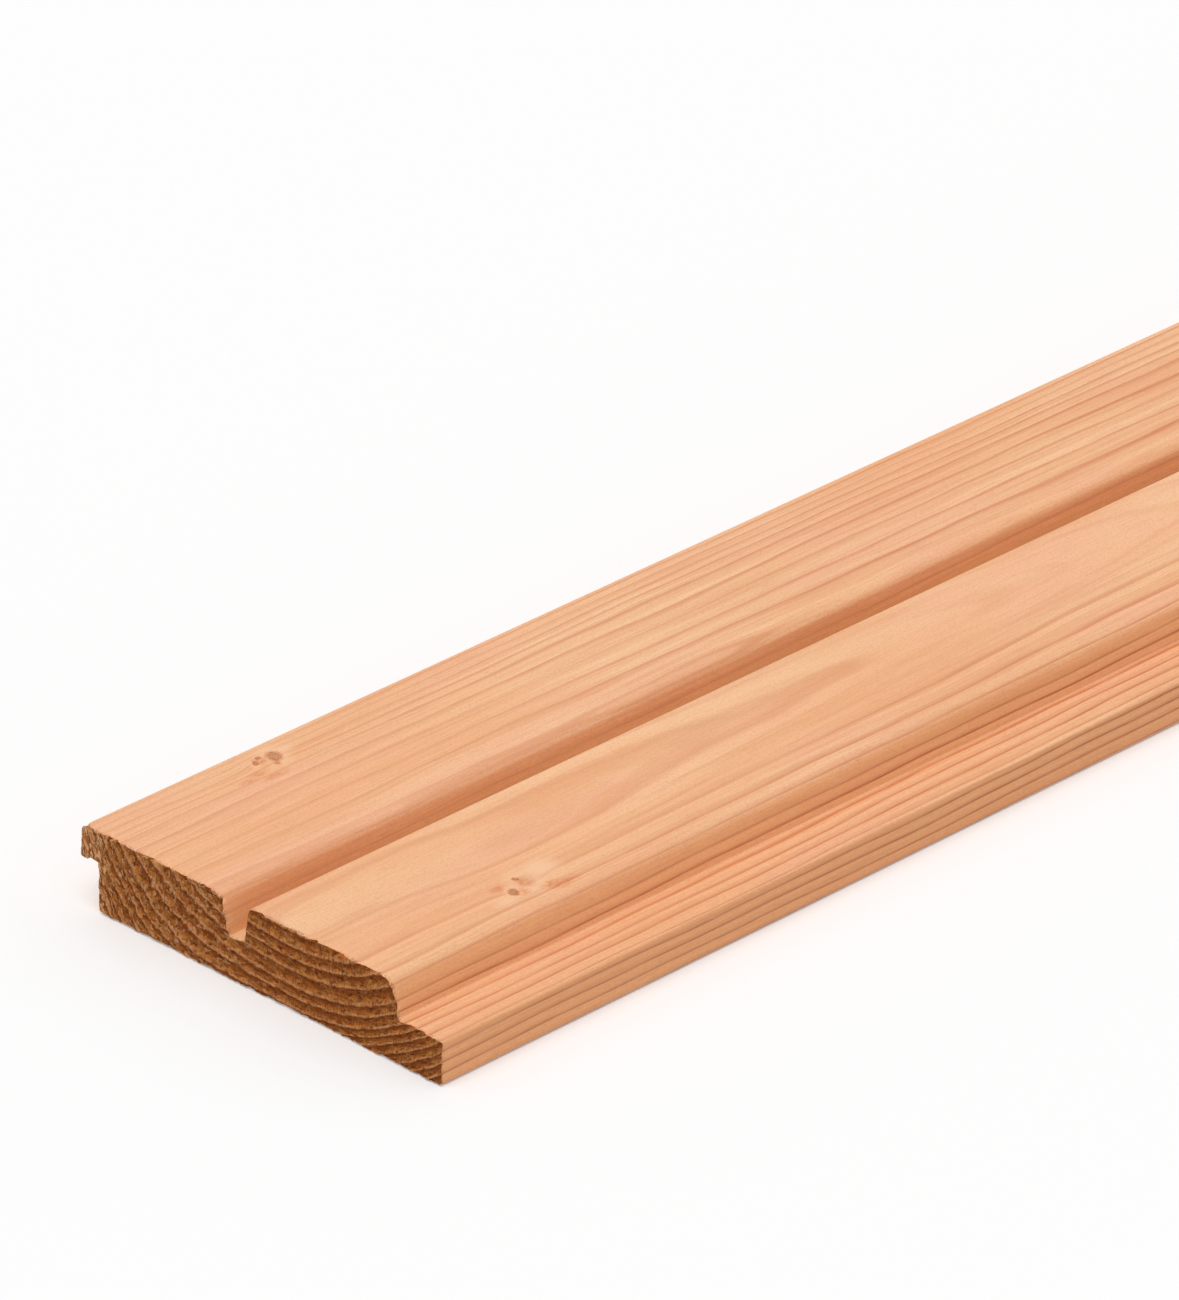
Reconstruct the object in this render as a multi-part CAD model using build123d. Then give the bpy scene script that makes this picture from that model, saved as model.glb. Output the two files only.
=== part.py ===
from build123d import *
import os
from math import cos, radians, tan

# One moulded softwood cladding board with two trapezoid battens on its face, lying on its back.
# X runs along the board, Y across it with the upper lip at +Y, and Z up through its thickness.
# The origin is the middle of the back face. All sizes are in millimetres.

# Overall stock size
board_length = 1800.0
board_width = 145.0
board_thickness = 26.0

# Upper lip, which overhangs the lower lip of the next board
upper_lip_reach = 7.5
upper_lip_thickness = 9.8
upper_lip_slope = 2.0

# Lower lip, which lies behind the upper lip of the next board
lower_lip_reach = 17.0
lower_lip_thickness = 14.2

# Groove down the middle of the face, which looks like the joint between two boards
groove_floor_width = 6.1
groove_floor_fall = 0.7
groove_upper_slope = 9.0

# Slope from the square of the lower side of both battens, which sheds the rain
lower_side_slope = 17.5

# Rounding of the edges that the moulder leaves
lower_edge_round = 4.0
upper_edge_round = 1.5
lower_lip_edge_round = 1.0
inner_corner_round = 0.9
groove_corner_round = 0.4
back_edge_round = 0.7

os.makedirs("parts", exist_ok=True)


def side_run(height, slope):
    """How far a side leans over its height, for a slope in degrees from the square."""
    return height * tan(radians(slope))


# The face is cut down to the level of the lower lip's shelf, and the groove's floor falls a little below it.
cut_depth = board_thickness - lower_lip_thickness
groove_depth = cut_depth + groove_floor_fall
upper_lip_run = side_run(upper_lip_thickness, upper_lip_slope)
lower_side_run = side_run(cut_depth, lower_side_slope)
groove_lower_run = side_run(groove_depth, lower_side_slope)
groove_upper_run = side_run(cut_depth, groove_upper_slope)
groove_mouth = groove_lower_run + groove_floor_width + groove_upper_run

# Rounding the foot of the sloped upper lip takes this much off the board's width, so it is added back.
lip_foot_loss = back_edge_round * (1 / cos(radians(upper_lip_slope)) + tan(radians(upper_lip_slope)) - 1)
faces_width = (
    board_width + lip_foot_loss - upper_lip_run - groove_mouth - lower_side_run - lower_lip_reach
)
batten_face = faces_width / 2


def section_corners():
    """Each sharp corner of the cross-section, as (y, z, rounding), from the upper lip round to the back."""
    y_lip_foot = board_width / 2 + lip_foot_loss
    y_lower = -board_width / 2
    y_face_start = y_lip_foot - upper_lip_run
    y_groove_start = y_face_start - batten_face
    y_floor_start = y_groove_start - groove_lower_run
    y_floor_end = y_floor_start - groove_floor_width
    y_groove_end = y_floor_end - groove_upper_run
    y_face_end = y_groove_end - batten_face
    y_shelf_start = y_face_end - lower_side_run
    y_shoulder = board_width / 2 - upper_lip_reach
    z_lip = board_thickness - upper_lip_thickness
    z_floor = board_thickness - groove_depth
    return [
        (y_lip_foot, z_lip, back_edge_round),
        (y_face_start, board_thickness, upper_edge_round),
        (y_groove_start, board_thickness, lower_edge_round),
        (y_floor_start, z_floor, groove_corner_round),
        (y_floor_end, lower_lip_thickness, groove_corner_round),
        (y_groove_end, board_thickness, upper_edge_round),
        (y_face_end, board_thickness, lower_edge_round),
        (y_shelf_start, lower_lip_thickness, inner_corner_round),
        (y_lower, lower_lip_thickness, lower_lip_edge_round),
        (y_lower, 0.0, back_edge_round),
        (y_shoulder, 0.0, back_edge_round),
        (y_shoulder, z_lip, inner_corner_round),
    ]


def make_board():
    """The cross-section with its rounded edges, run along the board's whole length."""
    corners = section_corners()
    start = Plane.YZ.offset(-board_length / 2)
    points = [start.from_local_coords((y, z, 0)) for y, z, rounding in corners]
    outline = FilletPolyline(points, radius=[rounding for y, z, rounding in corners], close=True)
    return extrude(make_face(outline), amount=board_length, dir=(1, 0, 0))


board = make_board()
board.label = "cladding_board"
export_step(board, "parts/cladding_board.step")

print("batten face width", round(batten_face, 2), "groove mouth", round(groove_mouth, 2))
print("section area", round(board.volume / board_length, 1), "volume", round(board.volume))
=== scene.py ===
import math

import bpy
import numpy as np
from mathutils import Matrix, Vector


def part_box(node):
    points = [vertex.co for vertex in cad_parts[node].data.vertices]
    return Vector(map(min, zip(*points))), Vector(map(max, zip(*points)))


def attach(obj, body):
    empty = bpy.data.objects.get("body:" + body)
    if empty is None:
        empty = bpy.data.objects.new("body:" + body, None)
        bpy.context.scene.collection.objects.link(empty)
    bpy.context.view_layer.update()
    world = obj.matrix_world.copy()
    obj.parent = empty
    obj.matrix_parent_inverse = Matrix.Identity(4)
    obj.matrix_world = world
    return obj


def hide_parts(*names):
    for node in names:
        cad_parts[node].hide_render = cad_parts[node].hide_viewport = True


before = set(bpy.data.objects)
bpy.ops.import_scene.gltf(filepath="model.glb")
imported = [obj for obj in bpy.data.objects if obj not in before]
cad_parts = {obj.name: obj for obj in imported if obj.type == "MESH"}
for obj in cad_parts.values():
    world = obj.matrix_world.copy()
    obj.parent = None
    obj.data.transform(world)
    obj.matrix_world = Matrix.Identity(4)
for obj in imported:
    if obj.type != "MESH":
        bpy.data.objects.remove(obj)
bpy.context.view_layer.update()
lowCorner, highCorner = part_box("cladding_board")
metre = 1000.0  # the wood is worked out in millimetres

boardLength = (highCorner.x - lowCorner.x) * metre
boardWidth = (highCorner.y - lowCorner.y) * metre
boardThickness = (highCorner.z - lowCorner.z) * metre
endX = lowCorner.x * metre  # the sawn end that the camera sees
print("frame loaded:", round(boardLength), "x", round(boardWidth), "x", round(boardThickness), "mm")


# the moulded section, in millimetres and degrees, as the frame's solid has it
section = {
    "upperLipReach": 7.5,
    "upperLipThickness": 9.8,
    "upperLipSlope": 2.0,
    "lowerLipReach": 17.0,
    "lowerLipThickness": 14.2,
    "grooveFloorWidth": 6.1,
    "grooveFloorFall": 0.7,
    "grooveUpperSlope": 9.0,
    "lowerSideSlope": 17.5,
    "lowerEdgeRound": 4.0,
    "upperEdgeRound": 1.5,
    "lowerLipEdgeRound": 1.0,
    "innerCornerRound": 0.9,
    "grooveCornerRound": 0.4,
    "backEdgeRound": 0.7,
}

# how finely the skin is laid out, in millimetres
mesh = {
    "step": 0.42,  # between columns over the section
    "outlineStep": 0.1,  # between points of the outline
    "arcPoints": 25,  # on each rounding
    "arcShare": 2.0,  # arcs get this many times the columns of a straight run
    "rows": 48,  # over the thickness of a sawn end
    "endStations": [0, 0.3, 0.65, 1.1, 1.7, 2.5, 3.6, 5.2, 7.6, 11.0, 16.0, 24.0, 36.0],
    "middleStations": 24,
    "lowerTail": 1.5,  # both runs start on the lower lip's edge, this many roundings from its corners
    "faceTail": 0.2,  # and end on the upper lip's end, at these shares of its height
    "backTail": 0.15,
    # corners of the face run that stand over a point of the back, and how far it lies beside them
    "anchorMoves": [(2, -1.0), (3, 1.0), (4, -2.0), (5, 0.5), (6, 0.0), (7, 2.0)],
    "shoulderMoves": (-3.5, 2.5),  # points of the face over the shoulder's foot and over its top
    "sharpAngle": 50.0,
}


def lean(height, slope):
    return height * math.tan(math.radians(slope))  # how far a sloped side leans over its height


def sectionCorners(s):
    # sharp corners (y, z) and their rounding: over the face first, then over the back, both from the
    # lower lip's edge to the upper lip's end
    cut = boardThickness - s["lowerLipThickness"]
    grooveDepth = cut + s["grooveFloorFall"]
    lipRun = lean(s["upperLipThickness"], s["upperLipSlope"])
    sideRun = lean(cut, s["lowerSideSlope"])
    grooveLowerRun = lean(grooveDepth, s["lowerSideSlope"])
    grooveUpperRun = lean(cut, s["grooveUpperSlope"])
    mouth = grooveLowerRun + s["grooveFloorWidth"] + grooveUpperRun
    slope = math.radians(s["upperLipSlope"])
    footLoss = s["backEdgeRound"] * (1 / math.cos(slope) + math.tan(slope) - 1)
    batten = (boardWidth + footLoss - lipRun - mouth - sideRun - s["lowerLipReach"]) / 2
    lower, upper = -boardWidth / 2, boardWidth / 2
    lipFoot = upper + footLoss
    faceStart = lipFoot - lipRun
    grooveStart = faceStart - batten
    floorStart = grooveStart - grooveLowerRun
    floorEnd = floorStart - s["grooveFloorWidth"]
    grooveEnd = floorEnd - grooveUpperRun
    faceEnd = grooveEnd - batten
    shelfStart = faceEnd - sideRun
    lipUnder = boardThickness - s["upperLipThickness"]
    shelf = s["lowerLipThickness"]
    faceTail, backTail = mesh["faceTail"], mesh["backTail"]
    over = [
        (lower, shelf - mesh["lowerTail"] * s["lowerLipEdgeRound"], 0),
        (lower, shelf, s["lowerLipEdgeRound"]),
        (shelfStart, shelf, s["innerCornerRound"]),
        (faceEnd, boardThickness, s["lowerEdgeRound"]),
        (grooveEnd, boardThickness, s["upperEdgeRound"]),
        (floorEnd, shelf, s["grooveCornerRound"]),
        (floorStart, boardThickness - grooveDepth, s["grooveCornerRound"]),
        (grooveStart, boardThickness, s["lowerEdgeRound"]),
        (faceStart, boardThickness, s["upperEdgeRound"]),
        (faceStart + lipRun * faceTail, boardThickness - s["upperLipThickness"] * faceTail, 0),
    ]
    under = [
        (lower, mesh["lowerTail"] * s["backEdgeRound"], 0),
        (lower, 0.0, s["backEdgeRound"]),
        (upper - s["upperLipReach"], 0.0, s["backEdgeRound"]),
        (upper - s["upperLipReach"], lipUnder, s["innerCornerRound"]),
        (lipFoot, lipUnder, s["backEdgeRound"]),
        (lipFoot - lipRun * backTail, lipUnder + s["upperLipThickness"] * backTail, 0),
    ]
    return np.array(over), np.array(under)


overFace, underBack = sectionCorners(section)
lowerFaceEdge, grooveFrom, grooveTo = overFace[3, 0], overFace[4, 0], overFace[7, 0]
grooveMiddle, grooveHalf = (grooveTo + grooveFrom) / 2, (grooveTo - grooveFrom) / 2
shoulderY, lipUnderZ = underBack[2, 0], underBack[3, 1]


def roundedRun(corners, step):
    # straight runs joined by arcs: an arc of radius r touches both sides of a corner of half-angle a
    # at r / tan(a) from it, and its centre lies r / sin(a) along the bisector
    points, radii = corners[:, :2], corners[:, 2]
    pieces = [points[:1]]
    bent = []  # for each stretch between two points, whether it is part of an arc
    for here, before, after, radius in zip(points[1:-1], points[:-2], points[2:], radii[1:-1]):
        back = (before - here) / np.linalg.norm(before - here)
        ahead = (after - here) / np.linalg.norm(after - here)
        half = math.acos(float(back @ ahead)) / 2
        bisector = (back + ahead) / np.linalg.norm(back + ahead)
        centre = here + bisector * radius / math.sin(half)
        first = here + back * radius / math.tan(half) - centre
        last = here + ahead * radius / math.tan(half) - centre
        turn = math.pi - 2 * half
        part = np.linspace(0, 1, mesh["arcPoints"])[:, None]
        arc = (np.sin((1 - part) * turn) * first + np.sin(part * turn) * last) / math.sin(turn)
        pieces.append(centre + arc)
        bent += [0.0] + [1.0] * (len(arc) - 1)
    pieces.append(points[-1:])
    sparse, bent = np.concatenate(pieces), np.array(bent + [0.0])
    length = np.concatenate([[0], np.cumsum(np.linalg.norm(np.diff(sparse, axis=0), axis=1))])
    fine = np.union1d(np.arange(0, length[-1], step), length)
    run = np.stack([np.interp(fine, length, sparse[:, k]) for k in (0, 1)], 1)
    middle = (fine[1:] + fine[:-1]) / 2
    return run, bent[np.searchsorted(length, middle) - 1]


def sampledPair(over, under, anchors):
    # both runs are cut at the same anchors, and each stretch gets as many points on the one as on the
    # other, so that point i of the face lies above point i of the back
    runs = []
    for corners in (over, under):
        run, bent = roundedRun(corners, mesh["outlineStep"])
        gap = np.linalg.norm(np.diff(run, axis=0), axis=1) * (1 + bent * (mesh["arcShare"] - 1))
        runs.append((run, np.concatenate([[0], np.cumsum(gap)])))
    marks = []
    for (run, length), side in zip(runs, (0, 1)):
        near = [np.argmin(np.linalg.norm(run - np.array(a[side]), axis=1)) for a in anchors]
        marks.append(length[[0] + near + [len(run) - 1]])
    spans = np.maximum(np.diff(marks[0]), np.diff(marks[1]))
    counts = np.ceil(spans / mesh["step"]).astype(int)
    sampled = []
    for (run, length), mark in zip(runs, marks):
        stretches = [
            np.linspace(a, b, n, endpoint=False) for a, b, n in zip(mark[:-1], mark[1:], counts)
        ]
        at = np.concatenate(stretches + [mark[-1:]])
        sampled.append(np.stack([np.interp(at, length, run[:, k]) for k in (0, 1)], 1))
    return sampled


def sectionGrid():
    # grid[i, j] = back point i + rise j * (face point i - back point i); the loop runs round its border,
    # over the face, down the upper lip's end, back under the board and up the lower lip
    anchors = [(overFace[k, :2], (overFace[k, 0] + move, 0)) for k, move in mesh["anchorMoves"]]
    atFoot, atTop = mesh["shoulderMoves"]
    anchors.append(((shoulderY + atFoot, boardThickness), (shoulderY, 0)))
    anchors.append(((shoulderY + atTop, boardThickness), (shoulderY, lipUnderZ)))
    face, back = sampledPair(overFace, underBack, anchors)
    rise = np.linspace(0, 1, mesh["rows"])
    grid = back[:, None, :] + rise[None, :, None] * (face - back)[:, None, :]
    index = np.arange(len(face) * mesh["rows"]).reshape(len(face), mesh["rows"])
    loop = np.concatenate([index[:, -1], index[-1, -2::-1], index[-2::-1, 0], index[0, 1:-1]])
    return grid, loop


# growth rings round a pith above the face, each as wide as listed; a wave is given as its size,
# wavelength / 2 pi and phase
rings = {
    "pithY": -14.5,
    "pithZ": 80.0,
    "rise": (3.0, 330.0, -1.571),  # the pith climbs and falls along the board
    "sway": [(1.1, 265.0, 0.6), (0.35, 92.0, 2.0)],  # and sways sideways
    "upperStretch": 0.66,
    "upperSteepening": 5.0e-5,
    "lowerStretch": 0.97,
    # size, wavelength along and across / 2 pi, phase
    "ripples": [(0.22, 41.0, 9.0, 1.3), (0.12, 17.0, -6.0, 0.4), (0.07, 7.5, 3.5, 2.2)],
    "wander": (70, 8, 8),  # cell sizes of the rings' own waver along, across and up
    "wanderSize": 1.1,
    # ripples shrink to the last share within the first distance, and reach full size at the second
    "calm": (5.0, 35.0, 0.3),
    # rings are wider by this share, beyond this r, and fully so at this distance from the pith's line
    "wideSide": (0.38, 72.0, 55.0),
    # wide swells of the rings beside a whorl of knots: along, across, size along and across, height
    "swells": [
        (84, -29, 78, 17, 0.9),
        (570, -12, 90, 22, 1.4),
        (1056, 20, 110, 26, 1.8),
        (1522, -8, 90, 22, 1.5),
    ],
    "swellDepth": 40.0,
    "meanRadius": 60.0,
    "innermost": 46.5,
    "widths": [4.5, 3.9, 4.8, 3.7, 3.9, 4.9, 3.3, 3.7, 2.5, 2.5, 2.7, 2.8, 2.9, 2.9, 3.1, 3.0, 3.2],
    # how dark each ring's latewood is
    "strengths": [
        0.5, 0.35, 0.6, 0.9, 0.7, 0.6, 0.9, 0.85, 0.8, 0.95, 0.6, 0.85, 0.9, 0.8, 0.5, 0.7, 0.6,
    ],
}
ringEnds = rings["innermost"] + np.concatenate([[0], np.cumsum(rings["widths"])])


def ringCount(s, y, z):
    # t counts the rings up to r + calm * ripples; r = sqrt(g^2 + h^2), where h is the height of the pith
    # above the point and g its sideways distance d * stretch, plus steepening * d^3 towards the upper
    # lip, where the outer rings are wider too; calm keeps the ripples small near the pith's line
    pithY = rings["pithY"] + sum(a * np.sin(s / w + p) for a, w, p in rings["sway"])
    d = y - pithY
    upper = rings["upperStretch"] * d + rings["upperSteepening"] * d**3
    g = np.where(d > 0, upper, rings["lowerStretch"] * d)
    climb, wave, phase = rings["rise"]
    h = rings["pithZ"] + climb * (1 + np.sin(s / wave + phase)) - z
    r = np.sqrt(g**2 + h**2)
    share, start, reach = rings["wideSide"]
    far = np.clip(d / reach, 0, 1)
    r = r - share * far * far * (3 - 2 * far) * np.maximum(r - start, 0)
    inner, outer, least = rings["calm"]
    away = np.clip((np.abs(d) - inner) / (outer - inner), 0, 1)
    calm = least + (1 - least) * away * away * (3 - 2 * away)
    r = r + calm * sum(a * np.sin(s / w + (y + z) / v + p) for a, w, v, p in rings["ripples"])
    return np.interp(r, ringEnds, np.arange(len(ringEnds)))


def softNoise(y, z, cell, seed):
    # smooth random surface between -1 and 1: random heights on a grid, blended by 3 q^2 - 2 q^3
    size, shift = 64, 200.0  # the shift keeps the cell numbers above zero
    heights = np.random.default_rng(seed).uniform(-1, 1, (size, size))
    a, b = y / cell + shift, z / cell + shift
    i, j = np.floor(a).astype(int), np.floor(b).astype(int)
    p, q = a - i, b - j
    p, q = p * p * (3 - 2 * p), q * q * (3 - 2 * q)
    i, j, i1, j1 = i % size, j % size, (i + 1) % size, (j + 1) % size
    low = heights[i, j] * (1 - p) + heights[i1, j] * p
    high = heights[i, j1] * (1 - p) + heights[i1, j1] * p
    return low * (1 - q) + high * q


# the two saw cuts, in millimetres
sawCut = {
    "depth": 0.45,  # mean depth of the torn surface under the end plane
    "leastDepth": 0.02,
    "ridge": 0.16,  # latewood stands proud by this much
    "ridgePart": (0.62, 0.2, 0.08),  # where in a ring the ridge starts, and its rise and fall
    "tearing": [(2.8, 0.20), (1.2, 0.22), (0.7, 0.10)],  # cell size, height
    "tearingFlat": 0.7,  # tears are longer over the thickness than across, by 1 / this
    "chips": [(7.0, 0.55), (2.6, 0.95), (1.2, 0.80)],  # cell size, depth of the nicks along the edges
    "chipBias": 0.10,
    "chipLoss": 0.15,  # nicks shallower than this are left out
    "chipReach": 3.0,  # how fast a nick fades along the board
    "edgeWear": 0.10,
    "nickWear": 0.28,  # further wear beside a nick, as a share of its depth
    "wearReach": 0.55,
    # the torn foot of the upper lip: how far it hangs, where it starts past the shoulder and is full, how
    # high it goes, and how it fades
    "burr": 1.2,
    "burrStart": 3.6,
    "burrWidth": 1.6,
    "burrHeight": 2.5,
    "burrSkinFade": 2.0,
    "burrEndFade": 2.5,
    "burrReach": 1.1,  # along the board
    "burrMean": 0.75,
    "burrUneven": (0.5, 0.9),  # share, cell size
    # where larger chips broke off the edge: y, z, width, depth
    "lostChips": [(60.5, 25.5, 3.0, 1.5), (72.3, 26.0, 2.2, 1.8), (-30.0, 26.0, 2.5, 0.7)],
    "nearSeed": 3,
    "farSeed": 71,
    "chipSeed": 10,
    "burrSeed": 5,
}


def tornDepth(y, z, s, seed):
    # depth = mean + noise at three sizes - a ridge on each latewood band
    t = ringCount(s, y, z)
    part = t - np.floor(t)
    start, rise, fall = sawCut["ridgePart"]
    late = np.clip((part - start) / rise, 0, 1) * np.clip((1 - part) / fall, 0, 1)
    depth = sawCut["depth"] - sawCut["ridge"] * late
    for k, (cell, height) in enumerate(sawCut["tearing"]):
        depth = depth + height * softNoise(y, z * sawCut["tearingFlat"], cell, seed + k)
    return np.maximum(depth, sawCut["leastDepth"])


def chipDepth(y, z, seed):
    # nicks = sum of depth * (positive part of the noise) - loss, so most of the edge stays whole, and
    # lost chips = sum of depth * exp(-(distance / width)^2)
    depth = np.full_like(y, -sawCut["chipLoss"])
    for k, (cell, size) in enumerate(sawCut["chips"]):
        rough = softNoise(y, z, cell, seed + sawCut["chipSeed"] + k)
        depth = depth + size * np.clip(rough + sawCut["chipBias"], 0, None)
    for chipY, chipZ, width, lost in sawCut["lostChips"]:
        depth = depth + lost * np.exp(-((y - chipY) ** 2 + (z - chipZ) ** 2) / width**2)
    return np.maximum(depth, 0)


def burrShare(y, z, fade):
    # share = how far past the burr's start * how far under its top, each between 0 and 1
    past = np.clip((y - (shoulderY + sawCut["burrStart"])) / sawCut["burrWidth"], 0, 1)
    return past * np.clip((lipUnderZ + sawCut["burrHeight"] - z) / fade, 0, 1)


def skinPoints(ring, station):
    # x = place + near depth * exp(-distance / reach) - far depth * exp(-distance / reach); y and z move
    # inwards by the wear, which fades the same way, and the burr hangs from the upper lip's foot
    tangent = np.roll(ring, -1, 0) - np.roll(ring, 1, 0)
    outward = np.stack([-tangent[:, 1], tangent[:, 0]], 1)
    outward /= np.linalg.norm(outward, axis=1)[:, None]
    y, z = ring[:, 0], ring[:, 1]
    fromNear, fromFar = station[:, None], boardLength - station[:, None]
    x, wear = fromNear, 0
    for s, end, away, inwards in ((0.0, "near", fromNear, 1), (boardLength, "far", fromFar, -1)):
        seed = sawCut[end + "Seed"]
        chip = tornDepth(y, z, s, seed) + chipDepth(y, z, seed)
        x = x + inwards * chip * np.exp(-away / sawCut["chipReach"])
        worn = sawCut["edgeWear"] + sawCut["nickWear"] * chip
        wear = wear + worn * np.exp(-away / sawCut["wearReach"])
    skin = np.stack([x + endX, y - outward[:, 0] * wear, z - outward[:, 1] * wear], 2)

    foot = burrShare(y, z, sawCut["burrSkinFade"]) * (z > lipUnderZ - 1)
    foot = foot * np.exp(-fromNear / sawCut["burrReach"])
    uneven, cell = sawCut["burrUneven"]
    uneven = uneven * softNoise(y, fromNear + 0 * y, cell, sawCut["burrSeed"])
    skin[:, :, 2] -= sawCut["burr"] * foot * (sawCut["burrMean"] + uneven)
    return skin.reshape(-1, 3)


# the bake map: the skin over the two ends, in shares of the map
bakeMap = {
    "along": (0.001, 0.998),  # from, and span
    "alongPower": 0.8,  # under 1, so that the seen end is sharper
    "around": (0.262, 0.736),
    "backShare": 0.34,  # the back gets a third of the face's share
    "backLevel": 0.5,
    # left, foot, width and height; the seen end takes the larger part
    "nearEnd": (0.002, 0.002, 0.996, 0.160),
    "farEnd": (0.002, 0.168, 0.60, 0.088),
}


def skinMap(ring, station, backFrom):
    # u = share of the length ^ power; v = length round the section, less of it for the back
    gap = np.linalg.norm(np.roll(ring, -1, 0) - ring, axis=1)
    middleOfGap = (ring[:, 1] + np.roll(ring[:, 1], -1)) / 2
    isBack = (middleOfGap < bakeMap["backLevel"]) | (np.arange(len(ring)) > backFrom)
    share = gap * np.where(isBack, bakeMap["backShare"], 1.0)
    start, span = bakeMap["around"]
    around = start + span * np.concatenate([[0], np.cumsum(share)]) / share.sum()
    start, span = bakeMap["along"]
    along = start + span * (station / boardLength) ** bakeMap["alongPower"]
    shape = (len(station) - 1, len(ring))
    u0, u1 = (np.broadcast_to(side[:, None], shape) for side in (along[:-1], along[1:]))
    v0, v1 = (np.broadcast_to(side[None, :], shape) for side in (around[:-1], around[1:]))
    return np.stack([u0, v0, u0, v1, u1, v1, u1, v0], 2).reshape(-1, 4, 2)


def endPart(near, grid, loop, border, start):
    # the section's grid, its border shared with the skin and its inside pushed in by tornDepth; on the
    # seen end the inside also hangs down with the burr
    columns, rows = grid.shape[:2]
    inside = np.ones((columns, rows), bool)
    inside[[0, -1], :] = False
    inside[:, [0, -1]] = False
    own = np.full((columns, rows), -1)
    own[inside] = start + np.arange(inside.sum())
    own.reshape(-1)[loop] = border
    y, z = grid[inside].T
    if near:
        x = endX + tornDepth(y, z, 0.0, sawCut["nearSeed"])
        z = z - sawCut["burr"] * sawCut["burrMean"] * burrShare(y, z, sawCut["burrEndFade"])
    else:
        x = endX + boardLength - tornDepth(y, z, boardLength, sawCut["farSeed"])
    i, j = np.meshgrid(np.arange(columns - 1), np.arange(rows - 1), indexing="ij")
    spots = [(i, j), (i, j + 1), (i + 1, j + 1), (i + 1, j)]
    if near:
        spots = spots[::-1]
    faces = np.stack([own[p] for p in spots], 2).reshape(-1, 4)
    left, foot, wide, high = bakeMap["nearEnd" if near else "farEnd"]
    us = (grid[:, :, 0] / boardWidth + 0.5) * wide + left
    vs = grid[:, :, 1] / boardThickness * high + foot
    uvs = np.stack([np.stack([us[p], vs[p]], 2) for p in spots], 2).reshape(-1, 4, 2)
    return np.stack([x, y, z], 1), faces, uvs


def boardObject(vertices, faces, slots, uvs):
    data = bpy.data.meshes.new("moulded_board")
    data.vertices.add(len(vertices))
    data.vertices.foreach_set("co", vertices.ravel())
    data.loops.add(faces.size)
    data.loops.foreach_set("vertex_index", faces.ravel())
    data.polygons.add(len(faces))
    data.polygons.foreach_set("loop_start", np.arange(0, faces.size, 4))
    data.polygons.foreach_set("loop_total", np.full(len(faces), 4))
    data.update(calc_edges=True)
    data.validate()
    data.polygons.foreach_set("material_index", slots)
    data.polygons.foreach_set("use_smooth", np.ones(len(faces), bool))
    data.uv_layers.new(name="OFBake").data.foreach_set("uv", uvs.reshape(-1, 2).ravel())
    data.set_sharp_from_angle(angle=math.radians(mesh["sharpAngle"]))
    data.update()
    board = bpy.data.objects.new("moulded_board", data)
    bpy.context.scene.collection.objects.link(board)
    return board


def buildBoard():
    grid, loop = sectionGrid()
    ring = grid.reshape(-1, 2)[loop]
    # stations along the board, close together at both ends
    ends = np.array(mesh["endStations"])
    middle = np.linspace(ends[-1], boardLength - ends[-1], mesh["middleStations"])
    station = np.concatenate([ends, middle[1:-1], boardLength - ends[::-1]])
    number = np.arange(len(station) * len(ring)).reshape(len(station), len(ring))
    a, b = number[:-1], number[1:]
    quads = np.stack([a, np.roll(a, -1, 1), np.roll(b, -1, 1), b], 2).reshape(-1, 4)

    vertices, faces, slots = [skinPoints(ring, station)], [quads], [np.zeros(len(quads), int)]
    uvs = [skinMap(ring, station, sum(grid.shape[:2]))]
    for near, border in ((True, number[0]), (False, number[-1])):
        start = sum(len(v) for v in vertices)
        points, quads, corners = endPart(near, grid, loop, border, start)
        vertices.append(points)
        faces.append(quads)
        slots.append(np.ones(len(quads), int))
        uvs.append(corners)
    vertices, faces = np.concatenate(vertices) / metre, np.concatenate(faces)
    board = boardObject(vertices, faces, np.concatenate(slots), np.concatenate(uvs))
    print("board skin:", len(vertices), "vertices,", 2 * len(faces), "triangles")
    return board


# small helpers for node trees, which add to the tree that was opened last
opened = {}


def openTree(tree):
    opened["tree"] = tree
    return tree


def newNode(kind, **values):
    node = opened["tree"].nodes.new(kind)
    for name, value in values.items():
        setattr(node, name, value)
    return node


def put(socket, value):
    if isinstance(value, bpy.types.NodeSocket):
        opened["tree"].links.new(value, socket)
    else:
        socket.default_value = value


def fill(node, *values):
    for socket, value in zip(node.inputs, values):
        put(socket, value)
    return node.outputs


def calc(operation, *values):
    return fill(newNode("ShaderNodeMath", operation=operation), *values)[0]


def times(a, b):
    return calc("MULTIPLY", a, b)


def minus(a, b):
    return calc("SUBTRACT", a, b)


def timesPlus(a, b, c):
    return calc("MULTIPLY_ADD", a, b, c)


def vectorCalc(operation, *values):
    outputs = fill(newNode("ShaderNodeVectorMath", operation=operation), *values)
    return outputs["Value" if operation in ("LENGTH", "DOT_PRODUCT") else "Vector"]


def parts(vector):
    return fill(newNode("ShaderNodeSeparateXYZ"), vector)


def fromSpot(place, along, across):
    return vectorCalc("SUBTRACT", place, (along, across, boardThickness))


def ramp(value, low, high, toLow=0.0, toHigh=1.0):
    node = newNode("ShaderNodeMapRange", interpolation_type="SMOOTHSTEP")
    return fill(node, value, low, high, toLow, toHigh)[0]


def oval(spread, size, *limits):
    # a soft oval: the ramp of the spread's length, counted in sizes
    return ramp(vectorCalc("LENGTH", vectorCalc("DIVIDE", spread, size)), *limits)


def both(value, first, second):
    # the product of two ramps of the same value
    return times(ramp(value, *first), ramp(value, *second))


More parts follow.
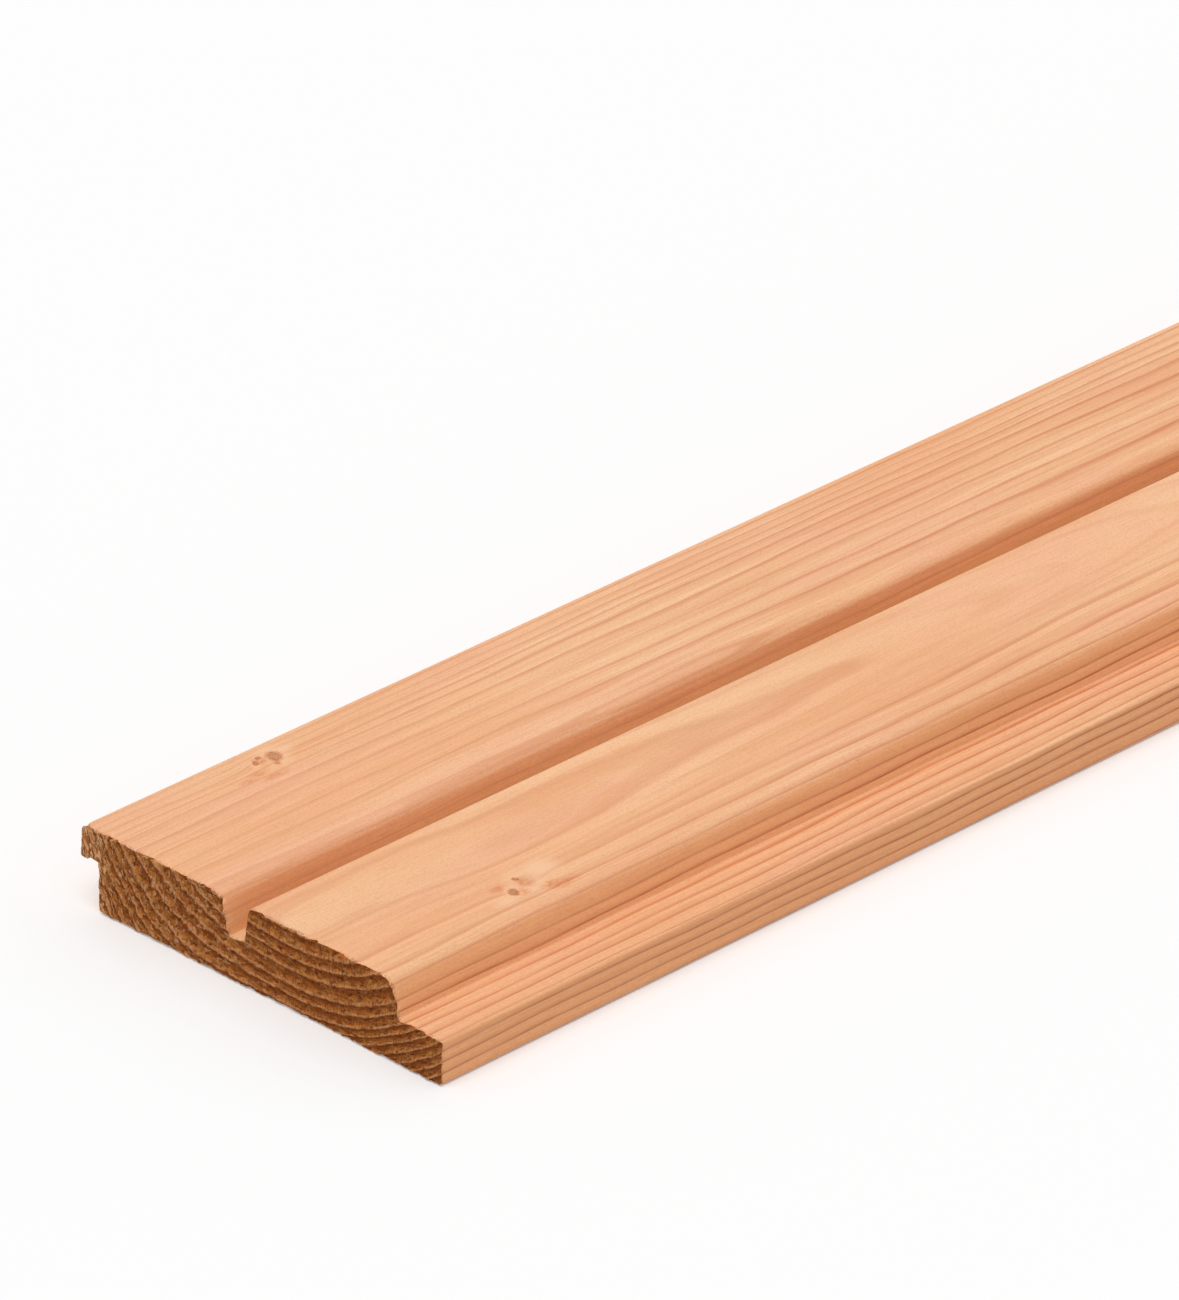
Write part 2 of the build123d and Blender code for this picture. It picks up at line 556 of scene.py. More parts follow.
def blend(share, a, b, how="MIX"):
    node = newNode("ShaderNodeMix", data_type="RGBA", blend_type=how)
    put(node.inputs["Factor"], share)
    put(node.inputs[6], a)  # 6, 7 and 2 are the sockets for colours
    put(node.inputs[7], b)
    return node.outputs[2]


def cloud(vector, detail, roughness):
    node = newNode("ShaderNodeTexNoise", noise_dimensions="3D")
    put(node.inputs["Vector"], vector)
    for name, value in (("Scale", 1.0), ("Detail", detail), ("Roughness", roughness)):
        node.inputs[name].default_value = value
    return node.outputs["Fac"]


def noise(vector, cells, detail=2.0, roughness=0.5, shift=(0, 0, 0)):
    # cells are the noise's cell sizes in millimetres along, across and up
    scaled = vectorCalc("DIVIDE", vectorCalc("ADD", vector, shift), cells)
    return cloud(scaled, detail, roughness)


def cellNoise(x, y, z, detail):
    # noise at a place put together from three numbers
    return cloud(fill(newNode("ShaderNodeCombineXYZ"), x, y, z)[0], detail, 0.6)


def layer(at, name):
    # one of the material's layers of noise, and its mask
    *values, limits = at["layers"][name]
    value = noise(at["place"], *values)
    return value, ramp(value, *limits)


def addRelief(shader, bump, values):
    # height = sum of value * weight
    height = 0.0
    for name, weight in bump["weights"].items():
        height = timesPlus(values[name], weight, height)
    node = newNode("ShaderNodeBump")
    node.inputs["Strength"].default_value = bump["strength"]
    node.inputs["Distance"].default_value = bump["distance"]
    put(node.inputs["Height"], height)
    put(shader.inputs["Normal"], node.outputs["Normal"])


def colour(red, green, blue):
    # sRGB 0 to 255 into the linear values that sockets hold
    def linear(c):
        c = c / 255
        return c / 12.92 if c <= 0.04045 else ((c + 0.055) / 1.055) ** 2.4

    return (linear(red), linear(green), linear(blue), 1.0)


# knots, and from here on a ramp is given as the two ends of its input, and the two of its output
knots = {
    # place along and across on the face, size along and across, turn, how dark, how far rings bulge
    "list": [
        (62.0, 63.9, 0.8, 1.2, -35, 0.85, 0.5),
        (64.9, 65.9, 1.0, 0.7, 20, 0.85, 0.6),
        (66.9, 59.6, 0.5, 0.8, 25, 0.60, 0.1),
        (69.2, 63.4, 2.0, 2.6, -12, 0.95, 0.8),
        (61.4, -40.7, 1.3, 1.8, -35, 1.00, 0.5),
        (67.4, -35.8, 0.8, 1.0, 40, 1.00, 0.3),
        (68.8, -38.9, 2.5, 3.2, -25, 0.20, 0.9),
        (566.0, 41.0, 3.4, 4.2, 12, 0.75, 1.9),
        (573.0, -22.0, 1.8, 2.1, -20, 0.90, 1.1),
        (1052.0, -44.0, 3.8, 4.6, -10, 0.70, 2.0),
        (1060.0, 54.0, 2.0, 2.3, 25, 0.85, 1.2),
        (1518.0, 30.0, 3.0, 3.9, 8, 0.75, 1.8),
        (1527.0, -33.0, 2.2, 2.6, -15, 0.90, 1.3),
    ],
    # these ramps run over the distance from a knot's middle, in knot sizes
    "heart": (1.15, 0.70),
    "centre": (0.0, 0.8, 0.85, 1.0),
    "rimOutside": (1.5, 1.05),
    "rimInside": (0.55, 1.0),
    "halo": (3.4, 1.2),  # the pale field round a knot
    "farthest": 9.0,
    "wobble": 1.1,  # how uneven the outlines are, in knot sizes
    "wobbleNoise": ((1.5, 0.9, 2.5), 2.0, 0.6, (9, 1, 5)),
    "ringTurns": 19.0,
    "ringLight": (0.16, 0.86),  # swing and mean of a knot's own rings
    "backwards": 0.22,  # how far a knot's oval slides along the board with each millimetre of depth
    "bulgeAlong": 15.0,
    "bulgeAcross": 8.5,
    "bulgeHeight": 0.8,
}
fieldOutputs = ("Rings", "Round", "Strength", "Knot", "Rim", "Halo")


def pithDistance(place):
    # r, g and h of ringCount above as nodes, with a waver added to the ripples and the swells taken off r
    s, y, z = parts(place)

    def wave(size, along, phase, across=None):
        inner = timesPlus(s, 1 / along, phase)
        if across:
            inner = timesPlus(calc("ADD", y, z), 1 / across, inner)
        return times(calc("SINE", inner), size)

    pithY = rings["pithY"]
    for size, along, phase in rings["sway"]:
        pithY = calc("ADD", wave(size, along, phase), pithY)
    d = minus(y, pithY)
    distance = calc("ABSOLUTE", d)
    cubed = times(calc("POWER", distance, 3.0), rings["upperSteepening"])
    upper = timesPlus(d, rings["upperStretch"], cubed)
    lower = times(d, rings["lowerStretch"])
    isUpper = calc("GREATER_THAN", d, 0.0)
    isLower = minus(1.0, isUpper)
    g = calc("ADD", times(isUpper, upper), times(isLower, lower))
    climb, climbWave, climbPhase = rings["rise"]
    h = calc("ADD", wave(climb, climbWave, climbPhase), rings["pithZ"] + climb)
    h = minus(h, z)
    r = calc("SQRT", calc("ADD", times(g, g), times(h, h)))
    share, start, reach = rings["wideSide"]
    beyond = calc("MAXIMUM", minus(r, start), 0.0)
    r = minus(r, times(ramp(d, 0.0, reach, 0.0, share), beyond))
    wander = noise(place, rings["wander"])
    ripple = times(minus(wander, 0.5), rings["wanderSize"])
    for size, along, across, phase in rings["ripples"]:
        ripple = calc("ADD", ripple, wave(size, along, phase, across))
    inner, outer, least = rings["calm"]
    calm = ramp(distance, inner, outer, least, 1.0)
    r = timesPlus(ripple, calm, r)
    for along, across, sizeAlong, sizeAcross, height in rings["swells"]:
        size = (sizeAlong, sizeAcross, rings["swellDepth"])
        r = minus(r, oval(fromSpot(place, along, across), size, 1.0, 0.0, 0.0, height))
    return r, g, h


def knotField(place, r):
    # r with each knot's bulge taken off, the distance from the nearest knot and how dark that one is
    wobble = noise(place, *knots["wobbleNoise"])
    wobble = timesPlus(wobble, knots["wobble"], -0.5 * knots["wobble"])
    # a knot is a cone from the pith, so its oval slides sideways and back with the depth under the face
    below = minus(boardThickness, parts(place)[2])
    nearest, darkness = knots["farthest"], 0.0
    for along, across, sizeAlong, sizeAcross, turn, dark, bulge in knots["list"]:
        slide = (across - rings["pithY"]) / (rings["pithZ"] - boardThickness)
        spread = vectorCalc("MULTIPLY_ADD", below, (-knots["backwards"], -slide, 1.0), place)
        spread = fromSpot(spread, along, across)
        turned = math.radians(turn)
        lengthwise = (math.cos(turned) / sizeAlong, math.sin(turned) / sizeAlong, 0)
        sideways = (-math.sin(turned) / sizeAcross, math.cos(turned) / sizeAcross, 0)
        u = vectorCalc("DOT_PRODUCT", spread, lengthwise)
        v = vectorCalc("DOT_PRODUCT", spread, sideways)
        q = calc("SQRT", timesPlus(u, u, times(v, v)))
        q = calc("ADD", q, wobble)
        closer = calc("LESS_THAN", q, nearest)
        change = minus(dark, darkness)
        darkness = timesPlus(closer, change, darkness)
        nearest = calc("MINIMUM", nearest, q)
        reach = (knots["bulgeAlong"] * bulge**0.5, knots["bulgeAcross"] * bulge**0.5, 1)
        r = minus(r, oval(spread, reach, 1.0, 0.0, 0.0, knots["bulgeHeight"] * bulge))
    return r, nearest, darkness


def ringNumber(r):
    # straight pieces from ring end to ring end turn r into the ring count, as np.interp does above
    last = len(rings["widths"])
    first, whole = ringEnds[0], ringEnds[-1] - ringEnds[0]
    curve = newNode("ShaderNodeFloatCurve")
    points = curve.mapping.curves[0].points
    for end in ringEnds[1:-1]:
        points.new((end - first) / whole, 0.5)
    for k, point in enumerate(points):
        point.location = ((ringEnds[k] - first) / whole, k / last)
        point.handle_type = "VECTOR"
    curve.mapping.update()
    share = calc("DIVIDE", minus(r, first), whole)
    put(curve.inputs["Value"], share)
    return times(curve.outputs["Value"], last)


def ringStrength(count):
    # one step of a colour ramp for each ring, read at the ring's middle
    last = len(rings["strengths"])
    steps = newNode("ShaderNodeValToRGB")
    elements = steps.color_ramp.elements
    steps.color_ramp.interpolation = "CONSTANT"
    for k, strength in enumerate(rings["strengths"]):
        stop = elements[0] if k == 0 else elements.new(k / last)
        stop.color = (strength, strength, strength, 1)
    elements.remove(elements[-1])
    middle = calc("ADD", calc("FLOOR", count), 0.5)
    put(steps.inputs["Fac"], calc("DIVIDE", middle, last))
    return steps.outputs["Color"]


def ringField():
    # the ring count as nodes, so that the lines run on from the sawn end over the faces
    tree = openTree(bpy.data.node_groups.new("ringField", "ShaderNodeTree"))
    tree.interface.new_socket("Place", in_out="INPUT", socket_type="NodeSocketVector")
    for name in fieldOutputs:
        tree.interface.new_socket(name, in_out="OUTPUT", socket_type="NodeSocketFloat")
    place = newNode("NodeGroupInput").outputs["Place"]
    r, g, h = pithDistance(place)
    r, nearest, darkness = knotField(place, r)
    count = ringNumber(r)
    # how far round the pith the point lies, in millimetres
    around = times(calc("ARCTAN2", g, h), rings["meanRadius"])

    swing, mean = knots["ringLight"]
    knotRings = calc("SINE", times(nearest, knots["ringTurns"]))
    heart = both(nearest, knots["heart"], knots["centre"])
    heart = times(heart, timesPlus(knotRings, swing, mean))
    rim = both(nearest, knots["rimOutside"], knots["rimInside"])
    values = (
        count,
        around,
        ringStrength(count),
        times(heart, darkness),
        times(rim, darkness),
        ramp(nearest, *knots["halo"]),
    )
    out = newNode("NodeGroupOutput")
    for name, value in zip(fieldOutputs, values):
        put(out.inputs[name], value)
    return tree


def startMaterial(name, field, layers):
    # what the nodes read: the place in millimetres from the seen end, its parts and the ring field
    material = bpy.data.materials.new(name)
    material.use_nodes = True
    tree = openTree(material.node_tree)
    coordinates = newNode("ShaderNodeTexCoord").outputs["Object"]
    scaled = vectorCalc("SCALE", coordinates)
    scaled.node.inputs["Scale"].default_value = metre
    place = vectorCalc("ADD", scaled, (-endX, 0, 0))
    wood = newNode("ShaderNodeGroup", node_tree=field)
    put(wood.inputs["Place"], place)
    at = {name: wood.outputs[name] for name in fieldOutputs}
    at["place"], at["layers"] = place, layers
    at["s"], at["y"], at["z"] = parts(place)
    return material, tree.nodes["Principled BSDF"], at


planed = {
    "early": colour(255, 205, 160),
    "earlyWarm": colour(252, 191, 143),
    "earlyPink": colour(251, 190, 152),
    "late": colour(212, 126, 76),
    "streak": colour(230, 156, 106),
    "fibreDark": colour(208, 140, 92),
    "side": colour(250, 178, 121),  # painted shade: faces that turn away from the top are darker and warmer
    # the latewood's darker copy for the sides: painted shade
    "shadedLate": colour(186, 104, 56),
    "knotTint": (0.58, 0.40, 0.25, 1),  # the tints multiply the wood's colour
    "knotDarkTint": (0.36, 0.22, 0.13, 1),
    "rimTint": (0.78, 0.55, 0.38, 1),
    "blushTint": (0.84, 0.55, 0.38, 1),
    # the bands' tint: tone, and in the strongest band painted shadow
    "bandAndShadowTint": (0.92, 0.80, 0.66, 1),
    "grooveShadeTint": (0.87, 0.97, 0.96, 1),  # painted shade: the groove's foot is darker and duller
    "halo": colour(254, 208, 168),
    "torn": colour(150, 92, 48),
    "roughness": 0.62,
    "fibreRoughness": 0.16,
    "lateRoughness": -0.10,
    "gloss": 0.35,
    "sideShade": (0.78, 0.32),  # the normal's upward part, from a face to a side, over which the sides' painted shade comes in
    "sideShadeShares": (0.68, 0.85),  # the painted shade's share in the groove and elsewhere
    # heights over which the groove's painted shade comes in
    "grooveShadeFoot": (22.0, 17.0),
    "haloShares": (0.55, 0.75),  # of a knot's own field, and of all pale places
    "rimSpeckle": (0.30, 0.60, 0.35, 1.0),
    "bandBroken": (0.30, 0.60, 0.5, 1.0),
    "tornReach": (1.9, 0.4),  # torn fibres fade between these distances from an end
    "tornShare": 0.75,
    # fibres, and last the short dark resin canals, with their colours
    "fibres": [("fibre", "fibreDark"), ("paleFibre", "halo"), ("mottle", "fibreDark"), ("canal", "late")],
    # streaks along the rings: length, how many to a ring, shift, ramp
    "streaks": [
        (150, 3.1, 3.0, (0.40, 0.72, 0.0, 0.42)),
        (70, 11.0, 8.0, (0.46, 0.70, 0.0, 0.34)),
    ],
    "bump": {
        "strength": 0.6,
        "distance": 0.00025,
        "weights": {"fibre": 0.6, "late": 0.4, "mottle": 0.4, "canal": -0.8},
    },
}

# noise on the faces: cell sizes along, across and up, detail, roughness, shift, ramp of its mask
planedLayers = {
    "warm": ((170, 26, 26), 2.0, 0.5, (40, 0, 0), (0.34, 0.66)),
    "pink": ((90, 18, 18), 2.0, 0.5, (0, 60, 20), (0.42, 0.68, 0.0, 0.7)),
    "broken": ((24, 1.1, 1.1), 3.0, 0.6, (0, 0, 0), (0.25, 0.62, 0.6, 1.0)),
    "fibre": ((13, 0.30, 0.30), 4.0, 0.65, (0, 0, 0), (0.46, 0.80, 0.0, 0.40)),
    "paleFibre": ((7, 0.24, 0.24), 2.0, 0.6, (3, 9, 2), (0.56, 0.80, 0.0, 0.35)),
    "mottle": ((1.1, 0.55, 0.55), 3.0, 0.7, (5, 5, 1), (0.42, 0.68, 0.0, 0.28)),
    "canal": ((3.6, 0.15, 0.15), 1.0, 0.5, (7, 3, 5), (0.71, 0.78, 0.0, 0.45)),
    "knot": ((0.7, 0.35, 0.35), 3.0, 0.6, (0, 0, 0), (0.48, 0.68)),
    "frayed": ((1.1, 0.42, 0.42), 2.0, 0.6, (6, 4, 2), (0.45, 0.60)),
    "speckle": ((1.6, 0.8, 0.8), 3.0, 0.6, (2, 2, 8), (0.34, 0.60, 0.25, 1.0)),
}

# the latewood lines: ramps over the part of a ring, then shares
latewood = {
    "width": 0.38,  # of the strongest ring's line, as a part of the ring
    "full": 0.93,
    "brink": (1.0, 0.92),
    "slow": (0.25, 0.95),
    "slowBrink": (1.0, 0.94),
    "lineShares": (0.24, 0.20),  # for the ring's strength, and for every ring
    "slowShare": 0.26,
    # faint on the upper batten's near end and in the groove, strong far off and on the lower lip
    "faintNear": (20.0, 300.0, 0.34, 0.0),
    "faintAcross": (-5.0, 10.0),
    "faintGroove": 0.55,
    "strongFar": (80.0, 380.0, 1.0, 1.35),
    "strongLower": 1.42,
}

# places on the faces that are redder or paler: along and across, size along and across, strength
patches = {
    "blush": [
        (64.0, 64.4, 3.0, 3.2, 1.0),
        (58.2, 58.8, 4.4, 1.8, 1.0),
        (53.0, 57.6, 5.0, 1.4, 0.7),
        (61.5, 54.8, 6.0, 1.5, 0.8),
        (66.8, 60.6, 1.6, 3.0, 0.8),
        (63.6, -42.6, 3.0, 2.0, 1.0),
        (59.0, -36.6, 3.6, 2.0, 0.8),
        (67.8, -38.4, 3.0, 3.0, 0.9),
        (72.6, -44.4, 4.4, 2.2, 1.0),
        (76.5, -46.6, 7.0, 2.4, 0.9),
    ],
    # the first band, the strongest, is painted shadow of a lapping board's edge; the others are tone
    "band": [
        (520.0, 48.0, 170.0, 11.0, 0.85),
        (330.0, 53.0, 70.0, 3.5, 0.25),
        (905.0, 14.0, 160.0, 7.0, 0.40),
        (1290.0, -42.0, 190.0, 9.0, 0.40),
        (1600.0, 58.0, 150.0, 7.0, 0.45),
    ],
    "pale": [
        (77.0, -35.8, 8.5, 5.5, 0.9),
        (56.5, -43.0, 6.0, 3.0, 0.7),
        (74.0, 64.5, 4.0, 2.4, 0.7),
    ],
    "depth": 6.0,
    "edge": (1.25, 0.15, 0.0),
}


def patchMask(place, listed):
    # the largest of the patches' soft ovals
    mask = 0.0
    for along, across, sizeAlong, sizeAcross, strength in listed:
        size = (sizeAlong, sizeAcross, patches["depth"])
        patch = oval(fromSpot(place, along, across), size, *patches["edge"], strength)
        mask = calc("MAXIMUM", mask, patch)
    return mask


def planedTints(at):
    # slow changes of tint, painted shade that darkens and warms the sides, then streaks whose cells
    # follow the rings
    warm = layer(at, "warm")[1]
    pink = layer(at, "pink")[1]
    base = blend(warm, planed["early"], planed["earlyWarm"])
    base = blend(pink, base, planed["earlyPink"])
    sideShadeShare = ramp(at["fromGroove"], grooveHalf - 1, grooveHalf + 3, *planed["sideShadeShares"])
    base = blend(times(at["sideShade"], sideShadeShare), base, planed["side"])
    for length, perRing, shift, limits in planed["streaks"]:
        streak = cellNoise(calc("DIVIDE", at["s"], length), times(at["Rings"], perRing), shift, 2.0)
        base = blend(ramp(streak, *limits), base, planed["streak"])
    return base


def latewoodShare(at, unbroken):
    # the ring darkens slowly and then quickly into its latewood line, which ends sharply
    strength, part = at["Strength"], calc("FRACT", at["Rings"])
    onset = timesPlus(strength, -latewood["width"], 1.0)
    line = both(part, (onset, latewood["full"]), latewood["brink"])
    slow = both(part, latewood["slow"], latewood["slowBrink"])
    late = times(line, timesPlus(strength, *latewood["lineShares"]))
    slowShare = times(strength, latewood["slowShare"])
    late = times(timesPlus(slow, slowShare, late), unbroken)
    nearEnd = ramp(at["s"], *latewood["faintNear"])
    faint = times(nearEnd, ramp(at["y"], *latewood["faintAcross"]))
    faint = calc("MAXIMUM", faint, times(at["inGroove"], latewood["faintGroove"]))
    late = times(late, minus(1.0, faint))
    late = times(late, ramp(at["s"], *latewood["strongFar"]))
    lower, upper = lowerFaceEdge - 3, lowerFaceEdge + 1
    return times(late, ramp(at["y"], upper, lower, 1.0, latewood["strongLower"]))


def knotColours(at, base):
    # pale field, blushes, reddish rim and brown heart with its own marks
    speckle, breaks = layer(at, "speckle")
    ownShare, allShare = planed["haloShares"]
    pale = patchMask(at["place"], patches["pale"])
    pale = calc("MAXIMUM", times(at["Halo"], ownShare), pale)
    base = blend(times(pale, allShare), base, planed["halo"])
    blush = times(patchMask(at["place"], patches["blush"]), breaks)
    base = blend(blush, base, planed["blushTint"], "MULTIPLY")
    rim = times(at["Rim"], ramp(speckle, *planed["rimSpeckle"]))
    base = blend(rim, base, planed["rimTint"], "MULTIPLY")
    dark = layer(at, "knot")[1]
    heart = blend(dark, planed["knotTint"], planed["knotDarkTint"])
    return blend(at["Knot"], base, heart, "MULTIPLY")


def planedMaterial(field):
    material, shader, at = startMaterial("planed_softwood", field, planedLayers)
    # the normal's upward part sets where the sides get painted shade
    normal = newNode("ShaderNodeNewGeometry").outputs["True Normal"]
    upward = calc("ABSOLUTE", parts(normal)[2])
    at["sideShade"] = ramp(upward, *planed["sideShade"])
    at["fromGroove"] = calc("ABSOLUTE", minus(at["y"], grooveMiddle))
    at["inGroove"] = ramp(at["fromGroove"], grooveHalf, grooveHalf - 1)
    broken, unbroken = layer(at, "broken")

    base = planedTints(at)
    late = latewoodShare(at, unbroken)
    # latewood lines on the sides take a darker copy: painted shade
    base = blend(late, base, blend(at["sideShade"], planed["late"], planed["shadedLate"]))
    # bands of darker tone, the strongest of them painted shadow
    bandsAndShadow = patchMask(at["place"], patches["band"])
    bandsAndShadow = times(bandsAndShadow, ramp(broken, *planed["bandBroken"]))
    base = blend(bandsAndShadow, base, planed["bandAndShadowTint"], "MULTIPLY")
    # painted shade on the groove's foot
    foot = times(at["inGroove"], ramp(at["z"], *planed["grooveShadeFoot"]))
    base = blend(foot, base, planed["grooveShadeTint"], "MULTIPLY")

    heights = {"late": late}
    for name, tint in planed["fibres"]:
        heights[name], share = layer(at, name)
        base = blend(share, base, planed[tint])
    heights["canal"] = share
    base = knotColours(at, base)

    # torn fibres at the very ends of the faces
    fromEnd = calc("MINIMUM", at["s"], minus(boardLength, at["s"]))
    frayed = layer(at, "frayed")[1]
    frayed = times(frayed, ramp(fromEnd, *planed["tornReach"]))
    base = blend(times(frayed, planed["tornShare"]), base, planed["torn"])
    put(shader.inputs["Base Color"], base)

    smoothest = planed["roughness"] - planed["fibreRoughness"] / 2
    rough = timesPlus(heights["fibre"], planed["fibreRoughness"], smoothest)
    rough = timesPlus(late, planed["lateRoughness"], rough)
    put(shader.inputs["Roughness"], rough)
    shader.inputs["Specular IOR Level"].default_value = planed["gloss"]
    addRelief(shader, planed["bump"], heights)
    return material


sawn = {
    "dark": colour(122, 60, 20),
    "pit": colour(78, 34, 10),
    "middle": colour(184, 110, 50),
    "olive": colour(190, 132, 64),
    "pale": colour(226, 172, 122),
    "line": colour(214, 156, 110),
    "roughness": 0.9,
    "gloss": 0.06,
    # the saw tore the upper lip's half more than the other: this ramp over the width, then what it adds
    # to each share, and the share on the lower half
    "rougher": (-30.0, 45.0),
    "jag": (0.46, 0.14),
    "jagNoise": ((2.5, 1.5, 1.7), 3.0, 0.6),
    "paleShare": (0.42, 0.18),
    "streakShare": (-0.45, 0.66),
    "fleckShare": (0.34, 0.14),
    # the shoulder and the thin lip tore palest of all
    "brink": (60.5, 65.0),
    "brinkShare": 0.30,
    "brinkPale": (-0.07, 0.53),
    "paleRise": 0.10,
    # ramps over the part of a ring
    "darkening": (0.10, 0.80),
    "oliveFrom": (0.15, 0.60, 0.30, 1.0),
    "lineFrom": (0.70, 0.86),
    "lineBrink": (1.0, 0.92),
    "lineShares": (0.46, 0.30),  # for the ring's strength, and for every ring
    "oliveShare": 0.50,
    "pitShare": 0.80,
    # torn strokes that follow the rings: how many over a ring, length round it, shift, ramp
    "blotches": (3.6, 2.2, 5.0, (0.47, 0.61, 0.0, 0.80)),
    "pits": (4.6, 1.3, 21.0, (0.56, 0.68)),
    "paleStrokes": (4.2, 1.7, 37.0),
    "inwards": 0.4,  # how fast the strokes change with the depth of the tear
    "bump": {
        "strength": 0.9,
        "distance": 0.0005,
        "weights": {
            "blotch": -0.8, "line": 0.5, "streak": -0.30, "pale": 0.4, "fleck": 0.5, "pit": -0.7,
        },
    },
}

# noise on the sawn ends, laid out like planedLayers
sawnLayers = {
    "olive": ((3.0, 6.5, 2.4), 2.0, 0.6, (4, 7, 1), (0.46, 0.62)),
    "broken": ((2.0, 2.2, 2.0), 3.0, 0.65, (1, 8, 4), (0.38, 0.54, 0.20, 1.0)),
    "streak": ((2.0, 0.34, 4.5), 2.0, 0.6, (0, 0, 0), (0.50, 0.64)),
    "fleck": ((0.8, 0.45, 0.60), 2.0, 0.6, (3, 3, 3), (0.60, 0.72)),
}


def strokes(at, count, perRing, length, shift):
    inwards = timesPlus(at["s"], sawn["inwards"], shift)
    return cellNoise(times(count, perRing), calc("DIVIDE", at["Round"], length), inwards, 3.0)


def sawnMaterial(field):
    material, shader, at = startMaterial("sawn_end_grain", field, sawnLayers)
    rougher = ramp(at["y"], *sawn["rougher"])
    jag = minus(noise(at["place"], *sawn["jagNoise"]), 0.5)
    jagSize = timesPlus(rougher, *sawn["jag"])
    count = timesPlus(jag, jagSize, at["Rings"])
    part = calc("FRACT", count)

    # torn earlywood is darkest just below a line and lightens towards the next one
    base = blend(ramp(part, *sawn["darkening"]), sawn["dark"], sawn["middle"])
    olive = layer(at, "olive")[1]
    olive = times(olive, ramp(part, *sawn["oliveFrom"]))
    base = blend(times(olive, sawn["oliveShare"]), base, sawn["olive"])
    *cells, limits = sawn["blotches"]
    blotch = strokes(at, count, *cells)
    base = blend(ramp(blotch, *limits), base, sawn["dark"])
    *cells, limits = sawn["pits"]
    pit = ramp(strokes(at, count, *cells), *limits)
    base = blend(times(pit, sawn["pitShare"]), base, sawn["pit"])

    brink = ramp(at["y"], *sawn["brink"])
    paleShare = timesPlus(rougher, *sawn["paleShare"])
    paleShare = timesPlus(brink, sawn["brinkShare"], paleShare)
    paleFrom = timesPlus(brink, *sawn["brinkPale"])
    paleTo = calc("ADD", paleFrom, sawn["paleRise"])
    pale = ramp(strokes(at, count, *sawn["paleStrokes"]), paleFrom, paleTo)
    base = blend(times(pale, paleShare), base, sawn["pale"])

    line = both(part, sawn["lineFrom"], sawn["lineBrink"])
    line = times(line, layer(at, "broken")[1])
    line = times(line, timesPlus(at["Strength"], *sawn["lineShares"]))
    base = blend(line, base, sawn["line"])
    heights = {"blotch": blotch, "line": line, "pale": pale, "pit": pit}
    # upright striations of the saw, stronger towards the lower lip, and pale flecks
    for name, tint in (("streak", "dark"), ("fleck", "pale")):
        heights[name], share = layer(at, name)
        share = times(share, timesPlus(rougher, *sawn[name + "Share"]))
        base = blend(share, base, sawn[tint])
    put(shader.inputs["Base Color"], base)
    shader.inputs["Roughness"].default_value = sawn["roughness"]
    shader.inputs["Specular IOR Level"].default_value = sawn["gloss"]
    addRelief(shader, sawn["bump"], heights)
    return material


field = ringField()
board = buildBoard()
board.data.materials.append(planedMaterial(field))
board.data.materials.append(sawnMaterial(field))
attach(board, "root")
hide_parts("cladding_board")
print("wood finished")


# plain pale floor and soft studio light
studio = {
    "floorSize": 9.0,
    "floorGap": 0.0004,  # metres under the board
    "floorTone": 0.86,
    "floorGlow": 0.16,
    "skyStrength": 0.52,
    "keyStrength": 1.50,
    "keySoftness": 45.0,
    "keyAzimuth": -80.0,  # counted like the camera's
    "keyElevation": 68.0,
}


def towards(azimuth, elevation):
    # unit vector from the object to a viewer or lamp at these angles
    a, e = math.radians(azimuth), math.radians(elevation)
    return Vector((math.sin(a) * math.cos(e), -math.cos(a) * math.cos(e), math.sin(e)))


def seenRay():
    # 1 for rays from the camera, straight, mirrored or through a surface, and 0 for those that light
    path = newNode("ShaderNodeLightPath").outputs
    through = calc("MAXIMUM", path["Is Glossy Ray"], path["Is Transmission Ray"])
    return calc("MAXIMUM", path["Is Camera Ray"], through)


def buildFloor():
    half, z = studio["floorSize"] / 2, lowCorner.z - studio["floorGap"]
    data = bpy.data.meshes.new("studio_floor")
    corners = [(-half, -half, z), (half, -half, z), (half, half, z), (-half, half, z)]
    data.from_pydata(corners, [], [(0, 1, 2, 3)])
    floor = bpy.data.objects.new("studio_floor", data)
    bpy.context.scene.collection.objects.link(floor)
    material = bpy.data.materials.new("studio_floor")
    material.use_nodes = True
    openTree(material.node_tree).nodes.clear()
    out = newNode("ShaderNodeOutputMaterial")
    matt = newNode("ShaderNodeBsdfDiffuse")
    matt.inputs["Color"].default_value = (studio["floorTone"],) * 3 + (1,)
    glow = newNode("ShaderNodeEmission")
    put(glow.inputs["Strength"], times(seenRay(), studio["floorGlow"]))
    total = fill(newNode("ShaderNodeAddShader"), matt.outputs[0], glow.outputs[0])
    put(out.inputs["Surface"], total[0])
    data.materials.append(material)


